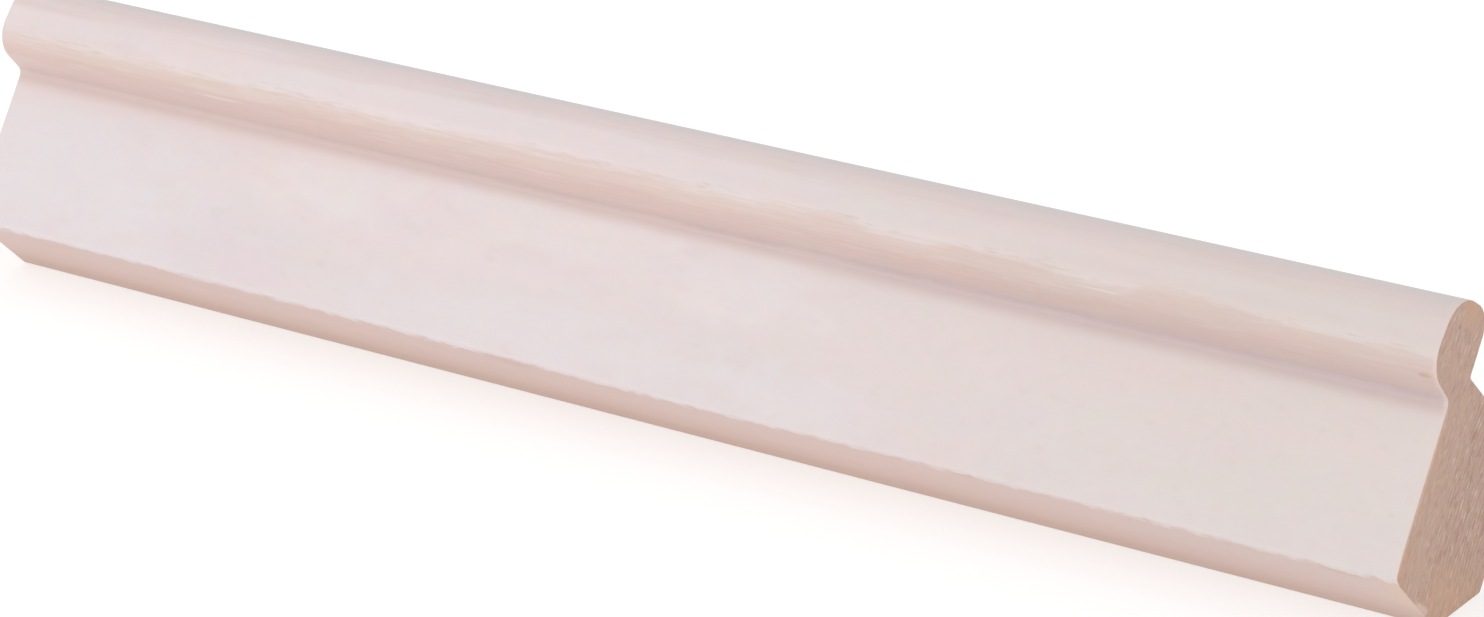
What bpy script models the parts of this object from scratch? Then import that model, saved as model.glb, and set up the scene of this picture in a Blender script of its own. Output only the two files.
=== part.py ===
# Corner moulding: a short length of solid pine, white stained, with both ends sawn square.
# The section is drawn as it was planed, with v going from the face to the back and w going
# up along the face from the face's lower arris, then turned to stand on its lower back bevel.
import bpy
import bmesh
import math
from mathutils import Vector

mm = 0.001

# overall length along X
length = 260.0 * mm

# flat face and body
face_height = 25.2 * mm
body_depth = 26.0 * mm
fall_to_back = math.radians(11.0)

# underside and the bevel that it stands on
underside_depth = 15.6 * mm
bevel_top = 4.3 * mm

# rebate behind the bead
rebate_front = 3.9 * mm
rebate_height = 29.6 * mm

# lower round of the bead, with the flat below it that runs in to the face
low_round_v = -2.7 * mm
low_round_w = 31.0 * mm
low_round_radius = 4.8 * mm
low_round_end = math.radians(255.0)

# upper round of the bead
top_round_v = -1.5 * mm
top_round_w = 33.3 * mm
top_round_radius = 5.7 * mm

# back edge of the bead
nose_round_radius = 3.8 * mm

# arris roundings
face_arris = 0.5 * mm
body_arris = 0.7 * mm
rebate_corner = 0.5 * mm
crease_round = 1.2 * mm

# fineness of the arcs
bead_step = math.radians(8.0)
arris_steps = 4
smooth_angle = math.radians(18.0)

# white stained pine
pine_colour = (0.74, 0.66, 0.64, 1.0)
pine_roughness = 0.5


def clear_scene():
    for old in list(bpy.data.objects):
        bpy.data.objects.remove(old, do_unlink=True)


def arc(centre, radius, start, end):
    steps = max(2, math.ceil(abs(end - start) / bead_step))
    points = []
    for i in range(steps + 1):
        turn = start + (end - start) * i / steps
        points.append(centre + Vector((math.cos(turn), math.sin(turn))) * radius)
    return points


def rounded(before, corner, after, radius):
    to_before = (before - corner).normalized()
    to_after = (after - corner).normalized()
    half = to_before.angle(to_after) / 2
    middle = (to_before + to_after).normalized()
    centre = corner + middle * (radius / math.sin(half))
    first = corner + to_before * (radius / math.tan(half)) - centre
    last = corner + to_after * (radius / math.tan(half)) - centre
    sweep = first.angle_signed(last)
    points = []
    for i in range(arris_steps + 1):
        turn = -sweep * i / arris_steps
        spun = Vector((first.x * math.cos(turn) - first.y * math.sin(turn),
                       first.x * math.sin(turn) + first.y * math.cos(turn)))
        points.append(centre + spun)
    return points


def bead():
    low = Vector((low_round_v, low_round_w))
    top = Vector((top_round_v, top_round_w))
    nose = Vector((rebate_front - nose_round_radius,
                   top_round_w + top_round_radius - nose_round_radius))
    # the flank is the line that touches both rounds
    across = top - low
    lean = math.acos((low_round_radius - top_round_radius) / across.length)
    flank = math.atan2(across.y, across.x) + lean
    quarter = math.radians(90.0)
    points = arc(nose, nose_round_radius, 0.0, quarter)
    points += arc(top, top_round_radius, quarter, flank)
    points += arc(low, low_round_radius, flank, low_round_end)
    return points


def section():
    fall = math.tan(fall_to_back)
    face_foot = Vector((0.0, 0.0))
    face_head = Vector((0.0, face_height))
    ridge = Vector((underside_depth, -underside_depth * fall))
    heel = Vector((body_depth, bevel_top))
    shoulder = Vector((body_depth, rebate_height - (body_depth - rebate_front) * fall))
    inner = Vector((rebate_front, rebate_height))
    moulded = bead()
    points = rounded(face_head, face_foot, ridge, face_arris)
    points += rounded(face_foot, ridge, heel, body_arris)
    points += rounded(ridge, heel, shoulder, body_arris)
    points += rounded(heel, shoulder, inner, body_arris)
    points += rounded(shoulder, inner, moulded[0], rebate_corner)
    points += moulded
    points += rounded(moulded[-1], face_head, face_foot, crease_round)
    return points, math.atan2(heel.y - ridge.y, heel.x - ridge.x)


def standing(points, bevel):
    # turn the section until the bevel is level, then set it on the ground
    level = Vector((math.cos(bevel), math.sin(bevel)))
    upward = Vector((-math.sin(bevel), math.cos(bevel)))
    turned = [Vector((p.dot(level), p.dot(upward))) for p in points]
    ground = min(p.y for p in turned)
    middle = (min(p.x for p in turned) + max(p.x for p in turned)) / 2
    return [Vector((p.x - middle, p.y - ground)) for p in turned]


def run_along_x(points):
    mesh = bpy.data.meshes.new("corner_moulding")
    shape = bmesh.new()
    corners = [shape.verts.new((-length / 2, p.x, p.y)) for p in points]
    cut = shape.faces.new(corners)
    grown = bmesh.ops.extrude_face_region(shape, geom=[cut], use_keep_orig=True)
    moved = [g for g in grown["geom"] if isinstance(g, bmesh.types.BMVert)]
    bmesh.ops.translate(shape, verts=moved, vec=(length, 0.0, 0.0))
    bmesh.ops.recalc_face_normals(shape, faces=shape.faces)
    shape.to_mesh(mesh)
    shape.free()
    mesh.shade_smooth()
    mesh.set_sharp_from_angle(angle=smooth_angle)
    return mesh


def stained_pine():
    wood = bpy.data.materials.new("white_stained_pine")
    wood.use_nodes = True
    surface = wood.node_tree.nodes["Principled BSDF"]
    surface.inputs["Base Color"].default_value = pine_colour
    surface.inputs["Roughness"].default_value = pine_roughness
    surface.inputs["Metallic"].default_value = 0.0
    return wood


def main():
    clear_scene()
    points, bevel = section()
    mesh = run_along_x(standing(points, bevel))
    mesh.materials.append(stained_pine())
    moulding = bpy.data.objects.new("corner_moulding", mesh)
    bpy.context.scene.collection.objects.link(moulding)


main()
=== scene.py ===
import bmesh
import bpy
import math
from mathutils import Matrix, Vector, noise


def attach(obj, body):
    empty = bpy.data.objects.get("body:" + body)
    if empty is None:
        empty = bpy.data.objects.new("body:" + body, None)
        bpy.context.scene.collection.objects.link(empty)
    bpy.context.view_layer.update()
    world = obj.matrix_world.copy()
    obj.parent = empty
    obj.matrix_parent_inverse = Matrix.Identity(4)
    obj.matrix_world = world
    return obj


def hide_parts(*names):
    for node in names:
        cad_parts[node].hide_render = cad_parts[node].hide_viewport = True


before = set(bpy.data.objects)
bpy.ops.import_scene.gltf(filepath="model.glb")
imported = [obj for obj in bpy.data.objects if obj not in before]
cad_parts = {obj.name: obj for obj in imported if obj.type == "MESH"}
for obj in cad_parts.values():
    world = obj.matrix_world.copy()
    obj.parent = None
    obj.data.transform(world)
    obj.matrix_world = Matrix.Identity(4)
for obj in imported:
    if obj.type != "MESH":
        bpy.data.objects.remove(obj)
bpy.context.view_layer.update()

mm = 0.001


def report(text):
    print("moulding:", text)


def selectNone():
    bpy.ops.object.select_all(action="DESELECT")


# The section, in its own directions: v goes from the face to the back and w goes up
# along the face, both from the face's lower arris. They are the sizes of the solid part.
section = {
    "faceHeight": 25.2 * mm,
    "bodyDepth": 26.0 * mm,
    "fallToBack": math.radians(11.0),     # of the underside and of the rebate's floor
    "undersideDepth": 15.6 * mm,
    "bevelTop": 4.3 * mm,
    "rebateFront": 3.9 * mm,
    "rebateHeight": 29.6 * mm,
    "lowRound": (-2.7 * mm, 31.0 * mm, 4.8 * mm),     # v, w and radius
    "lowRoundEnd": math.radians(255.0),
    "topRound": (-1.5 * mm, 33.3 * mm, 5.7 * mm),
    "noseRound": 3.8 * mm,                # the bead's upper back edge
    "arcStep": math.radians(5.0),
}


def arcPoints(centre, radius, start, end):
    steps = max(2, math.ceil(abs(end - start) / section["arcStep"]))
    turns = [start + (end - start) * i / steps for i in range(steps + 1)]
    v, w = centre
    return [Vector((v + radius * math.cos(t), w + radius * math.sin(t))) for t in turns]


def beadPoints():
    lowV, lowW, lowR = section["lowRound"]
    topV, topW, topR = section["topRound"]
    noseR = section["noseRound"]
    nose = (section["rebateFront"] - noseR, topW + topR - noseR)
    # one straight flank touches both rounds in front
    across = Vector((topV - lowV, topW - lowW))
    flank = math.atan2(across.y, across.x) + math.acos((lowR - topR) / across.length)
    quarter = math.radians(90.0)
    points = arcPoints(nose, noseR, 0.0, quarter)
    points += arcPoints((topV, topW), topR, quarter, flank)
    points += arcPoints((lowV, lowW), lowR, flank, section["lowRoundEnd"])
    return points


fall = math.tan(section["fallToBack"])
rebateDepth = section["bodyDepth"] - section["rebateFront"]
corners = {
    "faceFoot": Vector((0.0, 0.0)),
    "ridge": Vector((section["undersideDepth"], -section["undersideDepth"] * fall)),
    "heel": Vector((section["bodyDepth"], section["bevelTop"])),
    "shoulder": Vector((section["bodyDepth"], section["rebateHeight"] - rebateDepth * fall)),
    "inner": Vector((section["rebateFront"], section["rebateHeight"])),
    "faceHead": Vector((0.0, section["faceHeight"])),
}
rise = corners["heel"] - corners["ridge"]
lean = math.atan2(rise.y, rise.x)    # the bevel's slope across the section

# where the section's own zero lies in the part: the part is centred front to back, and its
# bevel lies level on the ground
sectionY = -17.8857 * mm
sectionZ = corners["ridge"].x * math.sin(lean) - corners["ridge"].y * math.cos(lean)


def standing(v, w):
    return (v * math.cos(lean) + w * math.sin(lean) + sectionY,
            -v * math.sin(lean) + w * math.cos(lean) + sectionZ)


def lying(y, z):
    y -= sectionY
    z -= sectionZ
    return y * math.cos(lean) - z * math.sin(lean), y * math.sin(lean) + z * math.cos(lean)


# Moulding

mouldingSizes = {
    "length": 260.0 * mm,
    "arrises": {"faceFoot": 0.5 * mm, "ridge": 0.7 * mm, "heel": 0.7 * mm, "shoulder": 0.7 * mm,
                "inner": 0.5 * mm, "faceHead": 1.2 * mm},     # radius at each corner
    "arrisSteps": 4,
    "sawnRim": 0.15 * mm,
    "rimSteps": 2,
    "startRing": 20.0 * mm,       # radius of the ring that the section is drawn from
    "slices": (20, 20),           # steps along the length, and again within each
    "longSlice": 10.0 * mm,       # edges longer than this along the length are cut again
    "wideFlat": 2.4 * mm,         # flats wider than this are cut into steps
    "flatSteps": 8,
    "samePlace": 0.01 * mm,
    "smoothBelow": math.radians(30.0),
    "endDepth": 0.3 * mm,         # how far in from each end a face can be sawn wood
    "endFacing": 0.4,             # and how squarely it has to look along the length
    "waver": 0.16 * mm,           # how far the face's lower arris wanders
    "waverWaves": (7.0 * mm, 1.6 * mm),     # its long waves and its short ones
    "waverShort": 0.3,            # the short ones' share
    "wearReach": 1.3 * mm,        # how far round the arris the wear goes
    "wearUp": 0.8,                # how far up the face it goes, against how far back
    # slow sags of that arris along the length, then chips: place, reach and depth in mm
    "sags": ((12.0, 32.0, 0.46), (-50.0, 32.0, 0.20)),
    "sagFade": 9.0 * mm,          # how far across the underside a sag reaches
    "sagTop": 0.8 * mm,           # and how far up the face
    "chips": ((130.0, 1.4, 0.42), (126.6, 1.3, 0.40), (123.6, 0.9, 0.28), (104.0, 0.8, 0.18),
              (88.0, 1.1, 0.16), (61.0, 1.3, 0.22), (43.5, 1.0, 0.22), (21.0, 1.2, 0.3),
              (5.0, 1.0, 0.2), (-16.0, 1.0, 0.2), (-22.5, 1.8, 0.34), (-63.0, 1.5, 0.18),
              (-97.0, 1.2, 0.15)),
}


def pickEdges(piece, wanted):
    bpy.ops.mesh.select_all(action="DESELECT")
    shape = bmesh.from_edit_mesh(piece.data)
    for edge in shape.edges:
        if wanted(edge.verts[0].co, edge.verts[1].co):
            edge.select_set(True)
    bmesh.update_edit_mesh(piece.data)


def runsAlong(a, b, shortest):
    return abs(a.x - b.x) > shortest


def makeMoulding():
    size = mouldingSizes
    half = size["length"] / 2
    close = size["samePlace"]
    bead = beadPoints()
    outline = [corners[name] for name in ("faceFoot", "ridge", "heel", "shoulder", "inner")]
    outline += bead + [corners["faceHead"]]
    selectNone()
    bpy.ops.mesh.primitive_circle_add(vertices=len(outline), radius=size["startRing"],
                                      fill_type="NOTHING")
    piece = bpy.context.object
    piece.name = "pineMoulding"
    piece.data.name = "pineMoulding"
    # the ring's points are set on the section, at the far end
    for vertex, point in zip(piece.data.vertices, outline):
        vertex.co = (-half, *standing(point.x, point.y))
    bpy.ops.object.mode_set(mode="EDIT")
    bpy.ops.mesh.select_mode(type="EDGE")
    bpy.ops.mesh.select_all(action="SELECT")
    bpy.ops.mesh.edge_face_add()
    bpy.ops.mesh.extrude_region_move(TRANSFORM_OT_translate={"value": (size["length"], 0.0, 0.0)})
    bpy.ops.mesh.select_all(action="SELECT")
    bpy.ops.mesh.normals_make_consistent(inside=False)
    # planed arrises, each with its own radius
    for i, corner in enumerate(outline):
        radius = [r for name, r in size["arrises"].items() if corners[name] is corner]
        if not radius:
            continue
        before = outline[i - 1] - corner
        after = outline[(i + 1) % len(outline)] - corner
        offset = radius[0] / math.tan(before.angle(after) / 2)
        y, z = standing(corner.x, corner.y)
        pickEdges(piece, lambda a, b: runsAlong(a, b, half) and
                  math.hypot(a.y - y, a.z - z) < close)
        bpy.ops.mesh.bevel(offset_type="OFFSET", offset=offset, segments=size["arrisSteps"],
                           profile=0.5, affect="EDGES")
    # sawn rims: the edges that lie in one end
    pickEdges(piece, lambda a, b: a.x * b.x > 0)
    bpy.ops.mesh.bevel(offset_type="OFFSET", offset=size["sawnRim"], segments=size["rimSteps"],
                       profile=0.5, affect="EDGES")
    # steps along the length, then across the flats
    for cuts, shortest in zip(size["slices"], (half, size["longSlice"])):
        pickEdges(piece, lambda a, b: runsAlong(a, b, shortest))
        bpy.ops.mesh.subdivide(number_cuts=cuts - 1)
    pickEdges(piece, lambda a, b: not runsAlong(a, b, close) and (a - b).length > size["wideFlat"])
    bpy.ops.mesh.subdivide(number_cuts=size["flatSteps"] - 1)
    bpy.ops.object.mode_set(mode="OBJECT")
    wear(piece)
    bpy.ops.object.shade_smooth_by_angle(angle=size["smoothBelow"])
    weigh = piece.modifiers.new("evenShading", "WEIGHTED_NORMAL")
    weigh.keep_sharp = True
    bpy.ops.object.modifier_apply(modifier=weigh.name)
    return piece


def wear(piece):
    size = mouldingSizes
    longWave, shortWave = size["waverWaves"]
    for vertex in piece.data.vertices:
        x = vertex.co.x
        v, w = lying(vertex.co.y, vertex.co.z)
        # the face's lower arris wanders a little and is chipped here and there
        near = max(0.0, 1.0 - math.hypot(v, w) / size["wearReach"])
        if near > 0.0:
            sink = size["waver"] * (0.5 + noise.noise((x / longWave, 0.3, 0.0)))
            sink += size["waverShort"] * size["waver"] * noise.noise((x / shortWave, 4.1, 0.0))
            for place, reach, depth in size["chips"]:
                off = abs(x / mm - place) / reach
                sink += depth * mm * max(0.0, 1.0 - off * off)
            v += max(0.0, sink) * near
            w += max(0.0, sink) * near * size["wearUp"]
        # the arris isn't dead straight: the underside sags with it, less and less to the back
        if w < size["sagTop"] and v < size["sagFade"]:
            sag = 0.0
            for place, reach, depth in size["sags"]:
                sag += depth * math.exp(-((x / mm - place) / reach) ** 2)
            w -= sag * mm * (1.0 - max(0.0, v) / size["sagFade"])
        vertex.co.y, vertex.co.z = standing(v, w)


moulding = makeMoulding()
report("moulding drawn, %d faces" % len(moulding.data.polygons))


# Wood: everything below works in millimetres, x along the length, v and w across the section

grainLook = {
    "pith": (0.0, 78.0, 12.0),     # the log's centre, far behind the back
    "ringGap": 0.95,
    "ringWaver": 2.6,
    "drift": 0.012,                # how the rings climb along the length
    "lateWood": (0.35, 0.9),       # the part of a ring over which it darkens
    "lateEnd": (1.0, 0.93),        # and over which it ends
    "faintest": 0.4,               # share of the darkest ring that the faintest one has
}

# the stain's colours, with painted shade and painted light laid over them
stainAndShadeLook = {
    "white": (0.733, 0.648, 0.652, 1.0),
    "pink": (0.748, 0.640, 0.640, 1.0),
    "lilac": (0.726, 0.668, 0.688, 1.0),
    "mauve": (0.700, 0.605, 0.650, 1.0),
    "pale": (0.757, 0.692, 0.688, 1.0),
    "blush": (0.740, 0.590, 0.575, 1.0),
    "sage": (0.650, 0.600, 0.560, 1.0),
    # painted shade towards the near end, and on its bead
    "near": (0.685, 0.608, 0.580, 1.0),
    "nearBeadShade": (0.560, 0.470, 0.450, 1.0),
    # painted shade of the bead's band towards the near end
    "nearBandShade": (0.530, 0.420, 0.390, 1.0),
    # painted shade on the face's lower half
    "lowFaceShade": (0.660, 0.610, 0.615, 1.0),
    # painted shade on the bead's crown, the grey one at its very top
    "crownShade": (0.690, 0.582, 0.570, 1.0),
    "crownGreyShade": (0.640, 0.600, 0.600, 1.0),
    "tan": (0.668, 0.526, 0.476, 1.0),
    # rose: painted shade on the bead's lower half and below the crease
    "rose": (0.650, 0.489, 0.445, 1.0),
    # painted light right under the bead
    "roseLitUnderBead": (0.686, 0.527, 0.483, 1.0),
    # painted shade in the crease, and its thin painted shadow line
    "creaseShading": (0.600, 0.450, 0.415, 1.0),
    "creaseShadeNear": (0.530, 0.420, 0.425, 1.0),
    "under": (0.646, 0.491, 0.446, 1.0),
    # ridge: the grain's dark rings, and painted shade towards the ridge
    "ridge": (0.530, 0.342, 0.275, 1.0),
    # painted shade on the underside
    "underShade": (0.598, 0.474, 0.446, 1.0),
    "late": (0.520, 0.340, 0.260, 1.0),
    "cut": (0.725, 0.595, 0.545, 1.0),
    "raw": (0.640, 0.478, 0.390, 1.0),
    "speck": (0.420, 0.310, 0.230, 1.0),
    "roughness": 0.55,
    "relief": 0.02 * mm,
    # how strongly each effect is laid on, from 0 to 1
    "shares": {
        "streaks": 0.12, "nearEnd": 0.85, "nearBeadShade": 0.16, "lowFace": 0.2, "dabs": 0.045,
        "crownShade": 0.55, "crownGreyShade": 0.7, "crownWarmth": 0.25,
        "tornEdge": 0.24, "bandFibres": 0.22, "licks": 0.35, "nearBandShade": 0.34,
        "shadeBelowCrease": 0.49, "creaseFoot": 0.2, "creaseShading": 0.6, "creaseDip": 0.12, "creaseShadowLine": 0.5,
        "bareRings": 0.2, "bareFibres": 0.3, "underShade": 0.5, "underFront": 0.3, "ridge": 0.62,
        "sole": 0.17, "late": 0.12, "lateFibres": 0.4, "strands": 0.3, "rim": 0.6,
    },
    # from where to where each effect comes in, in mm: along x, then across v, then up w
    "spans": {
        "nearEnd": (-40.0, 135.0), "nearBeadShade": (-30.0, 125.0), "nearBandShade": (-10.0, 100.0),
        "nearCrease": (-15.0, 60.0), "nearUnder": (20.0, 110.0), "creaseShadowLine": (-110.0, 40.0),
        "creaseDip": (-10.0, 40.0), "creaseDipEnd": (90.0, 118.0),
        "crownFront": (-1.4, -2.3), "beadUnder": (-6.0, -3.5), "beadBack": (2.8, 3.2),
        "underBack": (18.0, 15.8), "underFront": (6.0, 2.0), "ridge": (5.0, 17.0),
        "sole": (10.5, 13.5), "foot": (-1.45, 0.1),
        "beadFoot": (25.2, 25.9), "beadRise": (25.0, 29.0), "lowFace": (17.0, 6.0),
        "dabs": (24.0, 20.0), "crownShade": (31.9, 33.7), "crownWarmth": (31.0, 32.6),
        "crownTop": (37.0, 38.4), "band": (31.2, 29.4), "tornTop": (31.6, 30.8),
        "tornFoot": (29.4, 30.2), "rose": (29.1, 27.9), "shadeBelowCrease": (22.0, 24.7),
        "creaseFoot": (21.6, 24.2), "creaseFootEnd": (25.4, 25.0), "creaseShading": (22.7, 25.2),
        "creaseEnd": (26.0, 25.3), "lineWidth": (0.45, 0.1), "underTop": (4.0, 2.0),
        "footTop": (0.3, 0.1), "drip": (39.6, 37.8), "rim": (-0.2, 0.6),
    },
    # the part of each noise that shows
    "shows": {
        "mottle": (0.42, 0.66), "streaks": (0.45, 0.75), "dabs": (0.56, 0.72),
        "crownWarmth": (0.44, 0.62), "torn": (0.54, 0.7), "bandFibres": (0.45, 0.7),
        "licks": (0.52, 0.7), "creaseShadowLine": (0.3, 0.6), "bareFibres": (0.5, 0.75),
        "strands": (0.5, 0.7),
    },
    "creaseShadowLine": 25.15,           # height of the thin painted shadow line in the crease
    "rimInside": 0.3,              # how far in from the near end the raw fibres start
    "rimOutside": 0.4,
    # soft patches: tint, strength, middle along and up the face, half length and half width, mm
    "facePatches": (
        ("lilac", 0.8, (-115.0, 10.0), (38.0, 19.0)), ("mauve", 0.42, (-79.0, 4.0), (15.0, 8.0)),
        ("pale", 0.7, (-63.0, 18.5), (18.0, 7.0)), ("pale", 0.5, (-20.0, 20.0), (28.0, 5.5)),
        ("pale", 0.5, (14.0, 18.0), (19.0, 7.0)), ("lilac", 0.5, (-18.0, 3.5), (44.0, 6.0)),
        ("lilac", 0.45, (30.0, 4.0), (18.0, 6.0)), ("pink", 0.5, (-30.0, 12.5), (26.0, 3.5)),
        ("blush", 0.3, (57.0, 2.2), (9.0, 4.0)), ("blush", 0.3, (86.0, 19.5), (20.0, 3.0)),
        ("blush", 0.3, (113.0, 15.8), (15.0, 1.6)), ("sage", 0.25, (108.0, 8.5), (24.0, 6.0)),
        ("blush", 0.4, (-112.0, 23.2), (34.0, 2.6)), ("blush", 0.3, (-72.0, 23.0), (20.0, 2.2)),
        ("speck", 0.08, (121.0, 8.0), (1.0, 0.5)), ("speck", 0.07, (-29.0, 13.5), (1.8, 0.8)),
        ("speck", 0.07, (-82.0, 10.5), (1.6, 1.0)), ("speck", 0.07, (-59.5, 6.5), (1.2, 0.8)),
        ("speck", 0.1, (126.6, 8.4), (0.7, 0.4)),
    ),
    "beadPatches": (
        ("blush", 0.3, (67.0, 34.2), (11.0, 2.2)), ("tan", 0.25, (-112.0, 30.2), (40.0, 1.8)),
        ("tan", 0.22, (88.0, 30.5), (50.0, 2.0)), ("blush", 0.35, (-77.5, 28.7), (4.5, 0.6)),
        ("pale", 0.6, (76.5, 28.35), (5.5, 0.2)), ("pale", 0.35, (-85.0, 27.1), (6.0, 0.2)),
        ("raw", 0.5, (129.4, 27.2), (2.4, 0.7)), ("speck", 0.45, (127.9, 27.1), (1.1, 0.25)),
    ),
    # the same on the underside, set out across it from the face
    "underPatches": (
        # the first speck is painted shadow under the arris's chip near -22 mm
        ("speck", 0.2, (-21.5, 2.6), (5.5, 1.3)), ("speck", 0.16, (122.5, 1.6), (5.5, 1.2)),
        ("speck", 0.14, (60.5, 1.6), (3.0, 0.9)), ("raw", 1.0, (132.0, 5.5), (7.5, 12.0)),
    ),
    # upper edge of the bead's tan half: place along the length and height above about 28.2, mm
    "flames": (
        (-130, 1.1), (-110, 1.3), (-90, 1.2), (-80, 1.2), (-70, 1.5), (-60, 1.3), (-50, 1.1),
        (-40, 1.3), (-20, 1.6), (0, 1.5), (10, 1.2), (20, 1.5), (33, 1.6), (39, 1.0), (46, 0.9),
        (51, 1.2), (57, 1.5), (65, 1.8), (70, 1.4), (75, 0.9), (79, 0.8), (83, 1.4), (88, 2.0),
        (92, 2.0), (96, 1.6), (106, 1.1), (130, 0.9),
    ),
    "flameTop": 2.0,               # the tallest flame, which fills the curve's whole height
}

endLook = {
    "tan": (0.536, 0.362, 0.289, 1.0),
    "dark": (0.400, 0.258, 0.198, 1.0),
    "pale": (0.700, 0.530, 0.450, 1.0),
    "amber": (0.590, 0.362, 0.248, 1.0),
    "knot": (0.270, 0.165, 0.115, 1.0),
    "roughness": 0.85,
    "relief": 0.12 * mm,
    "slant": math.radians(-14.0),  # how far the torn fibres lean off the face's line
    "shares": {
        "flecks": 0.55, "flecksMore": 0.6, "rings": 0.25, "ringsMore": 0.6,
        "back": 0.14, "amber": 0.5, "edge": 0.5,
    },
    "spans": {
        "flecks": (6.0, 11.0), "rings": (7.0, 11.0), "back": (8.5, 11.0), "front": (5.0, 0.0),
        "lowBack": (7.0, 13.0), "edge": (0.9, 0.1), "frontTop": (26.0, 18.0),
        "beadTop": (34.5, 38.0), "low": (9.0, 1.0), "edgeTop": (25.0, 23.0),
    },
    "shows": {"flecks": (0.5, 0.68), "pale": (0.54, 0.74), "amber": (0.3, 0.6)},
    # tint, strength, middle across and up the section, half width and half height, mm
    "patches": (
        ("amber", 0.45, (-1.8, 37.2), (2.9, 2.2)), ("knot", 0.6, (-3.6, 34.8), (0.35, 0.45)),
        ("pale", 0.7, (10.3, -1.6), (2.8, 0.8)),
    ),
}


def node(tree, kind, **given):
    made = tree.nodes.new(kind)
    for name, value in given.items():
        setattr(made, name, value)
    return made


def feed(tree, target, value):
    if isinstance(value, bpy.types.NodeSocket):
        tree.links.new(value, target)
    else:
        target.default_value = value


def calc(tree, operation, first, second=0.0, third=0.0):
    made = node(tree, "ShaderNodeMath", operation=operation)
    for target, value in zip(made.inputs, (first, second, third)):
        feed(tree, target, value)
    return made.outputs[0]


def times(tree, first, second):
    return calc(tree, "MULTIPLY", first, second)


def scaled(tree, value, by, plus):
    return calc(tree, "MULTIPLY_ADD", value, by, plus)


def ease(tree, value, start, end):    # 0 before start, 1 after end, soft between
    made = node(tree, "ShaderNodeMapRange", interpolation_type="SMOOTHSTEP")
    feed(tree, made.inputs["Value"], value)
    feed(tree, made.inputs["From Min"], start)
    feed(tree, made.inputs["From Max"], end)
    return made.outputs["Result"]


def tint(tree, share, under, over):
    made = node(tree, "ShaderNodeMix", data_type="RGBA")
    feed(tree, made.inputs["Factor"], share)
    feed(tree, made.inputs["A"], under)
    feed(tree, made.inputs["B"], over)
    return made.outputs["Result"]


def glaze(tree, mask, share, under, over):    # a tint that is never stronger than share
    return tint(tree, times(tree, mask, share), under, over)


def stretched(tree, place, grainSize, shift=(0.0, 0.0, 0.0), turn=0.0):
    made = node(tree, "ShaderNodeMapping")
    tree.links.new(place, made.inputs["Vector"])
    made.inputs["Location"].default_value = shift
    made.inputs["Rotation"].default_value = (turn, 0.0, 0.0)
    made.inputs["Scale"].default_value = [1 / reach for reach in grainSize]
    return made.outputs["Vector"]


def noiseOn(tree, where, detail):
    made = node(tree, "ShaderNodeTexNoise")
    made.inputs["Scale"].default_value = 1.0
    made.inputs["Detail"].default_value = detail
    tree.links.new(where, made.inputs["Vector"])
    return made.outputs


def cloud(tree, place, grainSize, shift=(0.0, 0.0, 0.0), detail=2.0, turn=0.0):
    # noise whose blotches are about this long in x, v and w, in mm
    return noiseOn(tree, stretched(tree, place, grainSize, shift, turn), detail)["Fac"]


def uneven(tree, place, colour, grainSize, strength):
    # each channel lighter or darker by a little, so that no patch is one flat colour
    blotches = noiseOn(tree, stretched(tree, place, grainSize), 3.0)["Color"]
    change = node(tree, "ShaderNodeVectorMath", operation="MULTIPLY_ADD")
    tree.links.new(blotches, change.inputs[0])
    change.inputs[1].default_value = (strength,) * 3
    change.inputs[2].default_value = (1 - strength / 2,) * 3
    both = node(tree, "ShaderNodeVectorMath", operation="MULTIPLY")
    tree.links.new(colour, both.inputs[0])
    tree.links.new(change.outputs["Vector"], both.inputs[1])
    return both.outputs["Vector"]


def patchOn(tree, place, wobble, under, patch, look, axes):
    name, share, middle, half = patch
    frameOf = node(tree, "ShaderNodeMapping")
    tree.links.new(place, frameOf.inputs["Vector"])
    frameOf.inputs["Scale"].default_value = (0.0, 0.0, 0.0)
    # a patch is set out in two of the directions, and runs through in the third
    for axis, centre, reach in zip(axes, middle, half):
        frameOf.inputs["Scale"].default_value["xvw".index(axis)] = 1.0 / reach
        frameOf.inputs["Location"].default_value["xvw".index(axis)] = -centre / reach
    far = node(tree, "ShaderNodeVectorMath", operation="LENGTH")
    tree.links.new(frameOf.outputs["Vector"], far.inputs[0])
    # full up to 0.3 of its size, and gone by 1.1
    mask = ease(tree, calc(tree, "ADD", far.outputs["Value"], wobble), 1.1, 0.3)
    return glaze(tree, mask, share, under, look[name])


def bumpy(tree, surface, height, distance):
    made = node(tree, "ShaderNodeBump")
    made.inputs["Strength"].default_value = 1.0
    made.inputs["Distance"].default_value = distance
    feed(tree, made.inputs["Height"], height)
    tree.links.new(made.outputs["Normal"], surface.inputs["Normal"])


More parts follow.
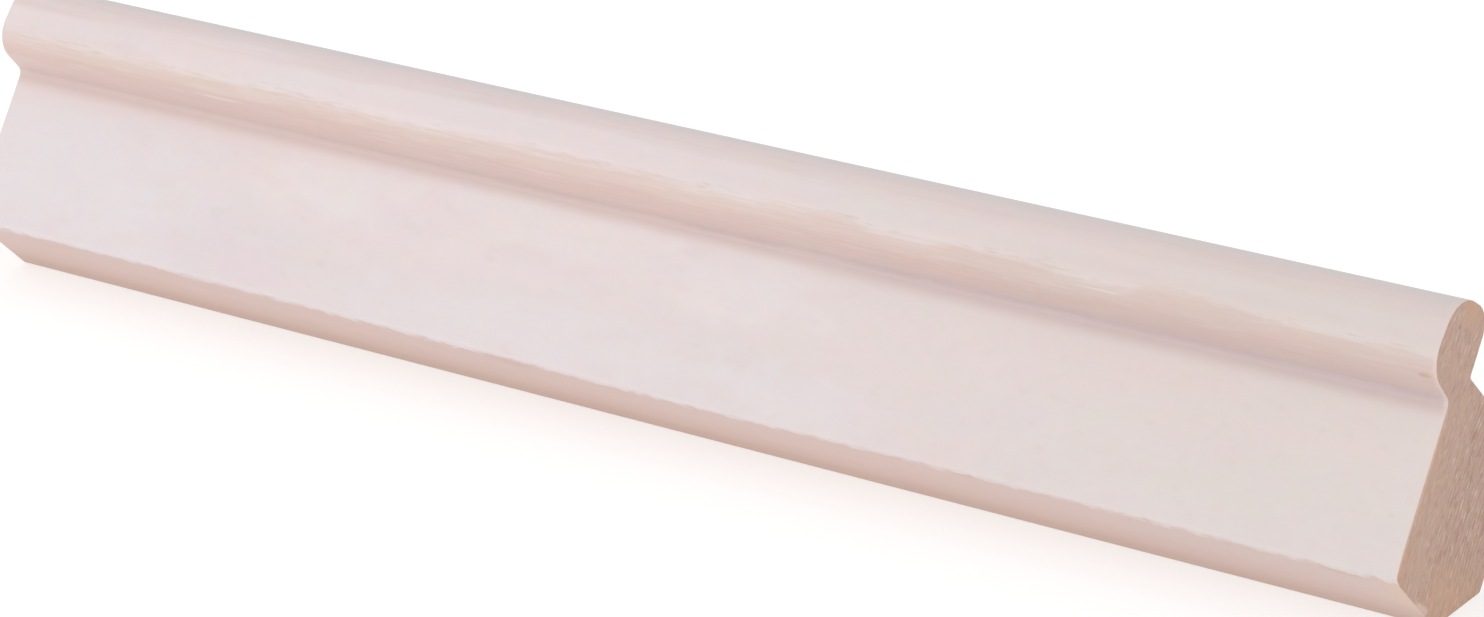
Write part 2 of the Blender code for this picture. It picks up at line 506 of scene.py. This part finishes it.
def makePineGrain():
    group = bpy.data.node_groups.new("pineGrain", "ShaderNodeTree")
    for name, kind in (("Place", "NodeSocketVector"), ("Ring Gap", "NodeSocketFloat"),
                       ("Waver", "NodeSocketFloat")):
        group.interface.new_socket(name, in_out="INPUT", socket_type=kind)
    for name in ("Rings", "Fibres", "Mottle"):
        group.interface.new_socket(name, in_out="OUTPUT", socket_type="NodeSocketFloat")
    given = node(group, "NodeGroupInput")
    result = node(group, "NodeGroupOutput")
    place = given.outputs["Place"]
    # distance from the pith, with a slow waver and a drift along the length
    across = node(group, "ShaderNodeVectorMath", operation="MULTIPLY")
    group.links.new(place, across.inputs[0])
    across.inputs[1].default_value = (0.0, 1.0, 1.0)
    reach = node(group, "ShaderNodeVectorMath", operation="DISTANCE")
    group.links.new(across.outputs["Vector"], reach.inputs[0])
    reach.inputs[1].default_value = grainLook["pith"]
    parts = node(group, "ShaderNodeSeparateXYZ")
    group.links.new(place, parts.inputs[0])
    wander = calc(group, "SUBTRACT", cloud(group, place, (80, 16, 16)), 0.5)
    wander = times(group, wander, given.outputs["Waver"])
    depth = calc(group, "ADD", reach.outputs["Value"], wander)
    depth = scaled(group, parts.outputs["X"], grainLook["drift"], depth)
    count = calc(group, "DIVIDE", depth, given.outputs["Ring Gap"])
    part = calc(group, "FRACT", count)
    darker = ease(group, part, *grainLook["lateWood"])
    ends = ease(group, part, *grainLook["lateEnd"])
    # each ring has its own strength
    own = node(group, "ShaderNodeTexWhiteNoise", noise_dimensions="1D")
    group.links.new(calc(group, "FLOOR", count), own.inputs["W"])
    faintest = grainLook["faintest"]
    strength = scaled(group, own.outputs["Value"], 1 - faintest, faintest)
    rings = times(group, times(group, darker, ends), strength)
    group.links.new(rings, result.inputs["Rings"])
    fibres = cloud(group, place, (16, 0.32, 0.32), shift=(3.0, 0.0, 0.0), detail=3.0)
    group.links.new(fibres, result.inputs["Fibres"])
    mottle = cloud(group, place, (26, 8, 8), shift=(0.0, 7.0, 2.0))
    group.links.new(mottle, result.inputs["Mottle"])
    return group


def startWood(name, roughness):
    wood = bpy.data.materials.new(name)
    wood.use_nodes = True
    tree = wood.node_tree
    surface = tree.nodes["Principled BSDF"]
    surface.inputs["Roughness"].default_value = roughness
    # object place turned into the section's directions, in millimetres
    where = node(tree, "ShaderNodeTexCoord")
    turned = node(tree, "ShaderNodeMapping")
    tree.links.new(where.outputs["Object"], turned.inputs["Vector"])
    turned.inputs["Scale"].default_value = (1 / mm,) * 3
    turned.inputs["Rotation"].default_value = (lean, 0.0, 0.0)
    v, w = lying(0.0, 0.0)
    turned.inputs["Location"].default_value = (0.0, v / mm, w / mm)
    place = turned.outputs["Vector"]
    grain = node(tree, "ShaderNodeGroup", node_tree=pineGrain)
    tree.links.new(place, grain.inputs["Place"])
    grain.inputs["Ring Gap"].default_value = grainLook["ringGap"]
    grain.inputs["Waver"].default_value = grainLook["ringWaver"]
    parts = node(tree, "ShaderNodeSeparateXYZ")
    tree.links.new(place, parts.inputs[0])
    return wood, tree, surface, place, grain.outputs, parts.outputs


def whiteStainAndShade(tree, place, grain, x, v, w):
    look = stainAndShadeLook
    share, span, shows = look["shares"], look["spans"], look["shows"]
    mottle = ease(tree, grain["Mottle"], *shows["mottle"])
    colour = tint(tree, mottle, look["white"], look["pink"])
    # long faint streaks where the stain is thinner
    streak = cloud(tree, place, (40, 2.4, 2.4), shift=(2.0, 0.0, 6.0), detail=3.0)
    streak = ease(tree, streak, *shows["streaks"])
    colour = glaze(tree, streak, share["streaks"], colour, look["tan"])
    # painted shade: the near end is a little darker and warmer, the bead most of all, as the light
    # falls off towards that end
    closer = ease(tree, x, *span["nearEnd"])
    colour = glaze(tree, closer, share["nearEnd"], colour, look["near"])
    closer = times(tree, ease(tree, x, *span["nearBeadShade"]), ease(tree, w, *span["beadRise"]))
    colour = glaze(tree, closer, share["nearBeadShade"], colour, look["nearBeadShade"])
    # painted shade: the face's lower half is a little darker; faint dabs lie over the whole
    low = ease(tree, w, *span["lowFace"])
    colour = glaze(tree, low, share["lowFace"], colour, look["lowFaceShade"])
    dabs = cloud(tree, place, (3.2, 2.0, 2.0), shift=(7.0, 7.0, 7.0))
    dabs = times(tree, ease(tree, dabs, *shows["dabs"]), ease(tree, w, *span["dabs"]))
    colour = glaze(tree, dabs, share["dabs"], colour, look["speck"])
    # painted shade on the bead's crown, where the light only grazes it, greyest at the very top
    edge = cloud(tree, place, (24, 2.4, 2.4), shift=(1.0, 2.0, 0.0), detail=3.0)
    high = scaled(tree, edge, -4.5, w)
    crownShade = ease(tree, high, *span["crownShade"])
    colour = glaze(tree, crownShade, share["crownShade"], colour, look["crownShade"])
    top = times(tree, ease(tree, w, *span["crownTop"]), ease(tree, v, *span["crownFront"]))
    colour = glaze(tree, top, share["crownGreyShade"], colour, look["crownGreyShade"])
    # thin warm streaks over the crown, but not at its top
    warmth = cloud(tree, place, (30, 1.1, 1.1), shift=(6.0, 0.0, 3.0), detail=3.0)
    warmth = ease(tree, warmth, *shows["crownWarmth"])
    warmth = times(tree, warmth, ease(tree, high, *span["crownWarmth"]))
    warmth = times(tree, warmth, ease(tree, w, *reversed(span["crownTop"])))
    return glaze(tree, warmth, share["crownWarmth"], colour, look["tan"])


def flameLine(tree, x):
    # one curve along the whole length, from 0 to 1 for the tallest flame
    length = mouldingSizes["length"] / mm
    shape = node(tree, "ShaderNodeFloatCurve")
    line = shape.mapping.curves[0]
    bends = [((place + length / 2) / length, height / stainAndShadeLook["flameTop"])
             for place, height in stainAndShadeLook["flames"]]
    line.points[0].location = bends[0]
    line.points[1].location = bends[-1]
    for bend in bends[1:-1]:
        line.points.new(*bend)
    shape.mapping.update()
    tree.links.new(scaled(tree, x, 1 / length, 0.5), shape.inputs["Value"])
    return shape.outputs["Value"]


def tanBand(tree, place, grain, x, v, w, onBead, colour):
    # the bead's lower half: painted shade where it faces down, together with wood figure where
    # little stain took hold, with flames along its upper edge
    look = stainAndShadeLook
    share, span, shows = look["shares"], look["spans"], look["shows"]
    line = flameLine(tree, x)
    edge = cloud(tree, place, (16, 0.7, 0.7), shift=(0.0, 3.0, 3.0), detail=3.0)
    lace = cloud(tree, place, (5, 0.35, 0.35), shift=(2.0, 1.0, 3.0), detail=3.0)
    flame = scaled(tree, edge, 2.4, w)
    flame = scaled(tree, lace, 1.8, flame)
    flame = scaled(tree, line, -look["flameTop"], flame)
    band = times(tree, ease(tree, flame, *span["band"]), onBead)
    # torn fibres along that edge
    torn = cloud(tree, place, (3, 0.4, 0.4), shift=(5.0, 1.0, 2.0), detail=3.0)
    alongEdge = ease(tree, flame, *span["tornTop"])
    alongEdge = times(tree, alongEdge, ease(tree, flame, *span["tornFoot"]))
    torn = times(tree, ease(tree, torn, *shows["torn"]), alongEdge)
    torn = times(tree, torn, onBead)
    colour = glaze(tree, torn, share["tornEdge"], colour, look["speck"])
    # painted shade turns rose lower down and under the bead, with white fibres and a few warmer
    # licks
    lower = scaled(tree, edge, 1.6, w)
    warm = tint(tree, ease(tree, lower, *span["rose"]), look["tan"], look["rose"])
    # painted light: lighter again right under the bead, against its own shade
    warm = tint(tree, ease(tree, v, *span["beadUnder"]), warm, look["roseLitUnderBead"])
    fibres = ease(tree, grain["Fibres"], *shows["bandFibres"])
    warm = glaze(tree, fibres, share["bandFibres"], warm, look["white"])
    lick = cloud(tree, place, (9, 0.9, 0.9), shift=(4.0, 4.0, 0.0))
    lick = ease(tree, lick, *shows["licks"])
    warm = glaze(tree, lick, share["licks"], warm, look["blush"])
    # painted shade: the band is deeper towards the near end
    near = ease(tree, x, *span["nearBandShade"])
    warm = glaze(tree, near, share["nearBandShade"], warm, look["nearBandShade"])
    return tint(tree, band, colour, warm)


def creaseShade(tree, place, x, w, onBead, colour):
    # painted shade in and just below the crease, where the bead overhangs the face
    look = stainAndShadeLook
    share, span, shows = look["shares"], look["spans"], look["shows"]
    nearHalf = ease(tree, x, *span["nearCrease"])
    # painted shade: the face is warmer and darker just below the crease
    below = times(tree, ease(tree, w, *span["shadeBelowCrease"]), calc(tree, "SUBTRACT", 1.0, onBead))
    colour = glaze(tree, below, share["shadeBelowCrease"], colour, look["rose"])
    # painted shade just below the crease, deeper in the near half
    deep = tint(tree, nearHalf, look["creaseShading"], look["creaseShadeNear"])
    below = times(tree, ease(tree, w, *span["creaseFoot"]), ease(tree, w, *span["creaseFootEnd"]))
    below = times(tree, below, times(tree, nearHalf, share["creaseFoot"]))
    colour = tint(tree, below, colour, deep)
    # painted shade in the crease itself, a little lighter between the middle and the near end
    deepest = times(tree, ease(tree, w, *span["creaseShading"]), ease(tree, w, *span["creaseEnd"]))
    dip = share["creaseDip"]
    strength = scaled(tree, ease(tree, x, *span["creaseDip"]), -dip, share["creaseShading"])
    strength = scaled(tree, ease(tree, x, *span["creaseDipEnd"]), dip, strength)
    colour = glaze(tree, deepest, strength, colour, deep)
    # a thin painted shadow line lies in its bottom, broken here and there
    broken = cloud(tree, place, (7, 1.0, 1.0), shift=(0.0, 0.0, 8.0))
    broken = ease(tree, broken, *shows["creaseShadowLine"])
    broken = times(tree, broken, ease(tree, x, *span["creaseShadowLine"]))
    off = calc(tree, "ABSOLUTE", calc(tree, "SUBTRACT", w, look["creaseShadowLine"]))
    line = ease(tree, off, *span["lineWidth"])
    line = times(tree, line, times(tree, broken, share["creaseShadowLine"]))
    return tint(tree, line, colour, look["creaseShadeNear"])


def bareWood(tree, place, grain, x, v, w):
    # underside, bevel, back and rebate are barely stained
    look = stainAndShadeLook
    share, span, shows = look["shares"], look["spans"], look["shows"]
    under = times(tree, ease(tree, v, *span["underBack"]), ease(tree, w, *span["underTop"]))
    plain = glaze(tree, grain["Rings"], share["bareRings"], look["under"], look["ridge"])
    fibres = ease(tree, grain["Fibres"], *shows["bareFibres"])
    plain = glaze(tree, fibres, share["bareFibres"], plain, look["tan"])
    # painted shade: the underside is a little greyer near the near end and along its front
    near = times(tree, ease(tree, x, *span["nearUnder"]), share["underShade"])
    front = times(tree, ease(tree, v, *span["underFront"]), share["underFront"])
    near = calc(tree, "MAXIMUM", near, front)
    plain = tint(tree, times(tree, near, under), plain, look["underShade"])
    # painted shade: it deepens towards the ridge, where it meets the floor
    deeper = times(tree, ease(tree, v, *span["ridge"]), share["ridge"])
    plain = tint(tree, times(tree, deeper, under), plain, look["ridge"])
    sole = times(tree, ease(tree, v, *span["sole"]), share["sole"])
    plain = tint(tree, times(tree, sole, under), plain, look["speck"])
    # grain shows plainest where no stain was wiped on
    hidden = calc(tree, "SUBTRACT", 1.0, under)
    late = scaled(tree, grain["Fibres"], share["lateFibres"], share["late"])
    late = times(tree, grain["Rings"], late)
    plain = tint(tree, times(tree, late, hidden), plain, look["late"])
    strand = cloud(tree, place, (30, 1.4, 1.4), shift=(9.0, 0.0, 1.0), detail=4.0)
    strand = ease(tree, strand, *shows["strands"])
    strand = times(tree, strand, times(tree, hidden, share["strands"]))
    plain = tint(tree, strand, plain, look["pale"])
    return uneven(tree, place, plain, (9, 2.2, 2.2), 0.07)


def makeStained():
    look = stainAndShadeLook
    span = look["spans"]
    wood, tree, surface, place, grain, at = startWood("whiteStainedPine", look["roughness"])
    x, v, w = at["X"], at["Y"], at["Z"]
    wobble = cloud(tree, place, (9, 4, 4), shift=(0.0, 6.0, 4.0), detail=3.0)
    wobble = scaled(tree, wobble, 2.0, -1.0)
    onBead = ease(tree, w, *span["beadFoot"])    # 0 on the face, 1 on the bead
    colour = whiteStainAndShade(tree, place, grain, x, v, w)
    for patch in look["facePatches"]:
        colour = patchOn(tree, place, wobble, colour, patch, look, "xw")
    colour = tanBand(tree, place, grain, x, v, w, onBead, colour)
    colour = creaseShade(tree, place, x, w, onBead, colour)
    for patch in look["beadPatches"]:
        colour = patchOn(tree, place, wobble, colour, patch, look, "xw")
    for grainSize in ((10, 5, 5), (3, 2, 2)):
        colour = uneven(tree, place, colour, grainSize, 0.05)
    plain = bareWood(tree, place, grain, x, v, w)
    for patch in look["underPatches"]:
        plain = patchOn(tree, place, wobble, plain, patch, look, "xv")
    # the stain ends raggedly along the face's lower arris
    worn = cloud(tree, place, (2.5, 1.5, 1.5), shift=(8.0, 0.0, 0.0), detail=3.0)
    foot = ease(tree, scaled(tree, worn, -4.0, v), *span["foot"])
    # and down the back of the bead
    drip = cloud(tree, place, (6, 1.2, 1.2), shift=(0.0, 4.0, 8.0), detail=3.0)
    drip = ease(tree, scaled(tree, drip, 5.0, w), *span["drip"])
    behind = times(tree, ease(tree, v, *span["beadBack"]), drip)
    foot = times(tree, foot, ease(tree, w, *span["footTop"]))
    bare = calc(tree, "MAXIMUM", foot, behind)
    colour = tint(tree, bare, colour, plain)
    # raw fibres show along the near sawn rim
    nearEnd = mouldingSizes["length"] / mm / 2
    rim = ease(tree, scaled(tree, worn, 1.2, x), nearEnd - look["rimInside"],
               nearEnd + look["rimOutside"])
    rim = times(tree, rim, ease(tree, w, *span["rim"]))
    colour = glaze(tree, rim, look["shares"]["rim"], colour, look["cut"])
    tree.links.new(colour, surface.inputs["Base Color"])
    height = scaled(tree, grain["Rings"], 0.5, grain["Fibres"])
    bumpy(tree, surface, height, look["relief"])
    return wood


def makeSawnEnd():
    look = endLook
    share, span, shows = look["shares"], look["spans"], look["shows"]
    wood, tree, surface, place, grain, at = startWood("rawSawnEnd", look["roughness"])
    v, w = at["Y"], at["Z"]
    # torn fibres in short dashes, plainest towards the back
    clear = ease(tree, v, *span["flecks"])
    clear = scaled(tree, clear, share["flecksMore"], share["flecks"])
    fleck = cloud(tree, place, (40, 0.55, 1.7), detail=2.5, turn=look["slant"])
    dark = times(tree, ease(tree, fleck, *shows["flecks"]), clear)
    colour = tint(tree, dark, look["tan"], look["dark"])
    pale = cloud(tree, place, (40, 0.48, 1.4), shift=(4.0, 9.0, 0.0), turn=look["slant"])
    pale = ease(tree, pale, *shows["pale"])
    colour = glaze(tree, pale, clear, colour, look["pale"])
    clear = ease(tree, v, *span["rings"])
    clear = scaled(tree, clear, share["ringsMore"], share["rings"])
    colour = glaze(tree, grain["Rings"], clear, colour, look["dark"])
    back = ease(tree, v, *span["back"])
    colour = glaze(tree, back, share["back"], colour, look["dark"])
    # warmer along the front, at the bead's top and low down towards the back
    patch = cloud(tree, place, (40, 4, 6), shift=(0.0, 2.0, 7.0), detail=3.0)
    front = times(tree, ease(tree, v, *span["front"]), ease(tree, w, *span["frontTop"]))
    amber = calc(tree, "MAXIMUM", front, ease(tree, w, *span["beadTop"]))
    amber = times(tree, amber, ease(tree, patch, *shows["amber"]))
    low = times(tree, ease(tree, w, *span["low"]), ease(tree, v, *span["lowBack"]))
    amber = calc(tree, "MAXIMUM", amber, low)
    colour = glaze(tree, amber, share["amber"], colour, look["amber"])
    # the front edge is paler where the saw broke it
    edge = times(tree, ease(tree, v, *span["edge"]), ease(tree, w, *span["edgeTop"]))
    colour = glaze(tree, edge, share["edge"], colour, look["pale"])
    colour = uneven(tree, place, colour, (40, 1.4, 1.9), 0.2)
    wobble = cloud(tree, place, (40, 2.0, 2.0), shift=(0.0, 6.0, 4.0), detail=3.0)
    wobble = scaled(tree, wobble, 1.6, -0.8)
    for patch in look["patches"]:
        colour = patchOn(tree, place, wobble, colour, patch, look, "vw")
    tree.links.new(colour, surface.inputs["Base Color"])
    saw = cloud(tree, place, (40, 0.25, 1.2), shift=(0.0, 5.0, 0.0), detail=4.0, turn=look["slant"])
    bumpy(tree, surface, scaled(tree, fleck, -1.0, saw), look["relief"])
    return wood


def stainMoulding():
    size = mouldingSizes
    moulding.data.materials.append(makeStained())
    moulding.data.materials.append(makeSawnEnd())
    endFrom = size["length"] / 2 - size["endDepth"]
    for face in moulding.data.polygons:
        if abs(face.normal.x) > size["endFacing"] and abs(face.center.x) > endFrom:
            face.material_index = 1


pineGrain = makePineGrain()
stainMoulding()
report("pine stained")

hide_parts("corner_moulding")
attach(moulding, "root")

# Floor, light and camera

stageSizes = {
    "floor": 6.0,
    "floorColour": (0.50, 0.50, 0.50, 1.0),
    "floorRoughness": 0.9,
    "floorGlow": 0.56,             # like a light table, as the photo has no shadow
    "sky": 0.873,
    "lampPlace": (-0.35, -1.7, 0.9),
    "lampAim": (0.0, 0.0, 0.02),
    "lampSize": 1.0,
    "lampPower": 7.0,
    "white": (1.0, 1.0, 1.0, 1.0),
}


def makeFloor():
    size = stageSizes
    selectNone()
    bpy.ops.mesh.primitive_plane_add(size=size["floor"])
    floor = bpy.context.object
    floor.name = "paleFloor"
    look = bpy.data.materials.new("paleFloor")
    look.use_nodes = True
    surface = look.node_tree.nodes["Principled BSDF"]
    surface.inputs["Base Color"].default_value = size["floorColour"]
    surface.inputs["Roughness"].default_value = size["floorRoughness"]
    surface.inputs["Emission Color"].default_value = size["white"]
    surface.inputs["Emission Strength"].default_value = size["floorGlow"]
    floor.data.materials.append(look)


def makeLamp():
    size = stageSizes
    selectNone()
    bpy.ops.object.light_add(type="AREA", location=size["lampPlace"])
    lamp = bpy.context.object
    lamp.name = "softFront"
    lamp.data.shape = "SQUARE"
    lamp.data.size = size["lampSize"]
    lamp.data.energy = size["lampPower"]
    aim = Vector(size["lampAim"]) - Vector(size["lampPlace"])
    lamp.rotation_euler = aim.to_track_quat("-Z", "Y").to_euler()


def makeSky():
    sky = bpy.data.worlds.new("studio")
    sky.use_nodes = True
    background = sky.node_tree.nodes["Background"]
    background.inputs["Color"].default_value = stageSizes["white"]
    background.inputs["Strength"].default_value = stageSizes["sky"]
    bpy.context.scene.world = sky
    bpy.context.scene.view_settings.view_transform = "Standard"


# solved from the photo together with the section
cameraView = {
    "place": (449.681 * mm, -585.683 * mm, 323.139 * mm),
    "forward": (-0.55451, 0.73854, -0.38352),
    "right": (0.80895, 0.5865, -0.0402),
    "lens": 130.434,
    "sensor": 36.0,
    "nearClip": 10.0 * mm,
}


def makeCamera():
    selectNone()
    bpy.ops.object.camera_add()
    camera = bpy.context.object
    forward = Vector(cameraView["forward"]).normalized()
    right = Vector(cameraView["right"])
    right = (right - forward * right.dot(forward)).normalized()
    up = right.cross(forward)
    turn = Matrix((right, up, -forward)).transposed().to_4x4()
    camera.matrix_world = Matrix.Translation(cameraView["place"]) @ turn
    camera.data.lens = cameraView["lens"]
    camera.data.sensor_width = cameraView["sensor"]
    camera.data.clip_start = cameraView["nearClip"]
    bpy.context.scene.camera = camera


makeFloor()
makeLamp()
makeCamera()
makeSky()
report("stage set")
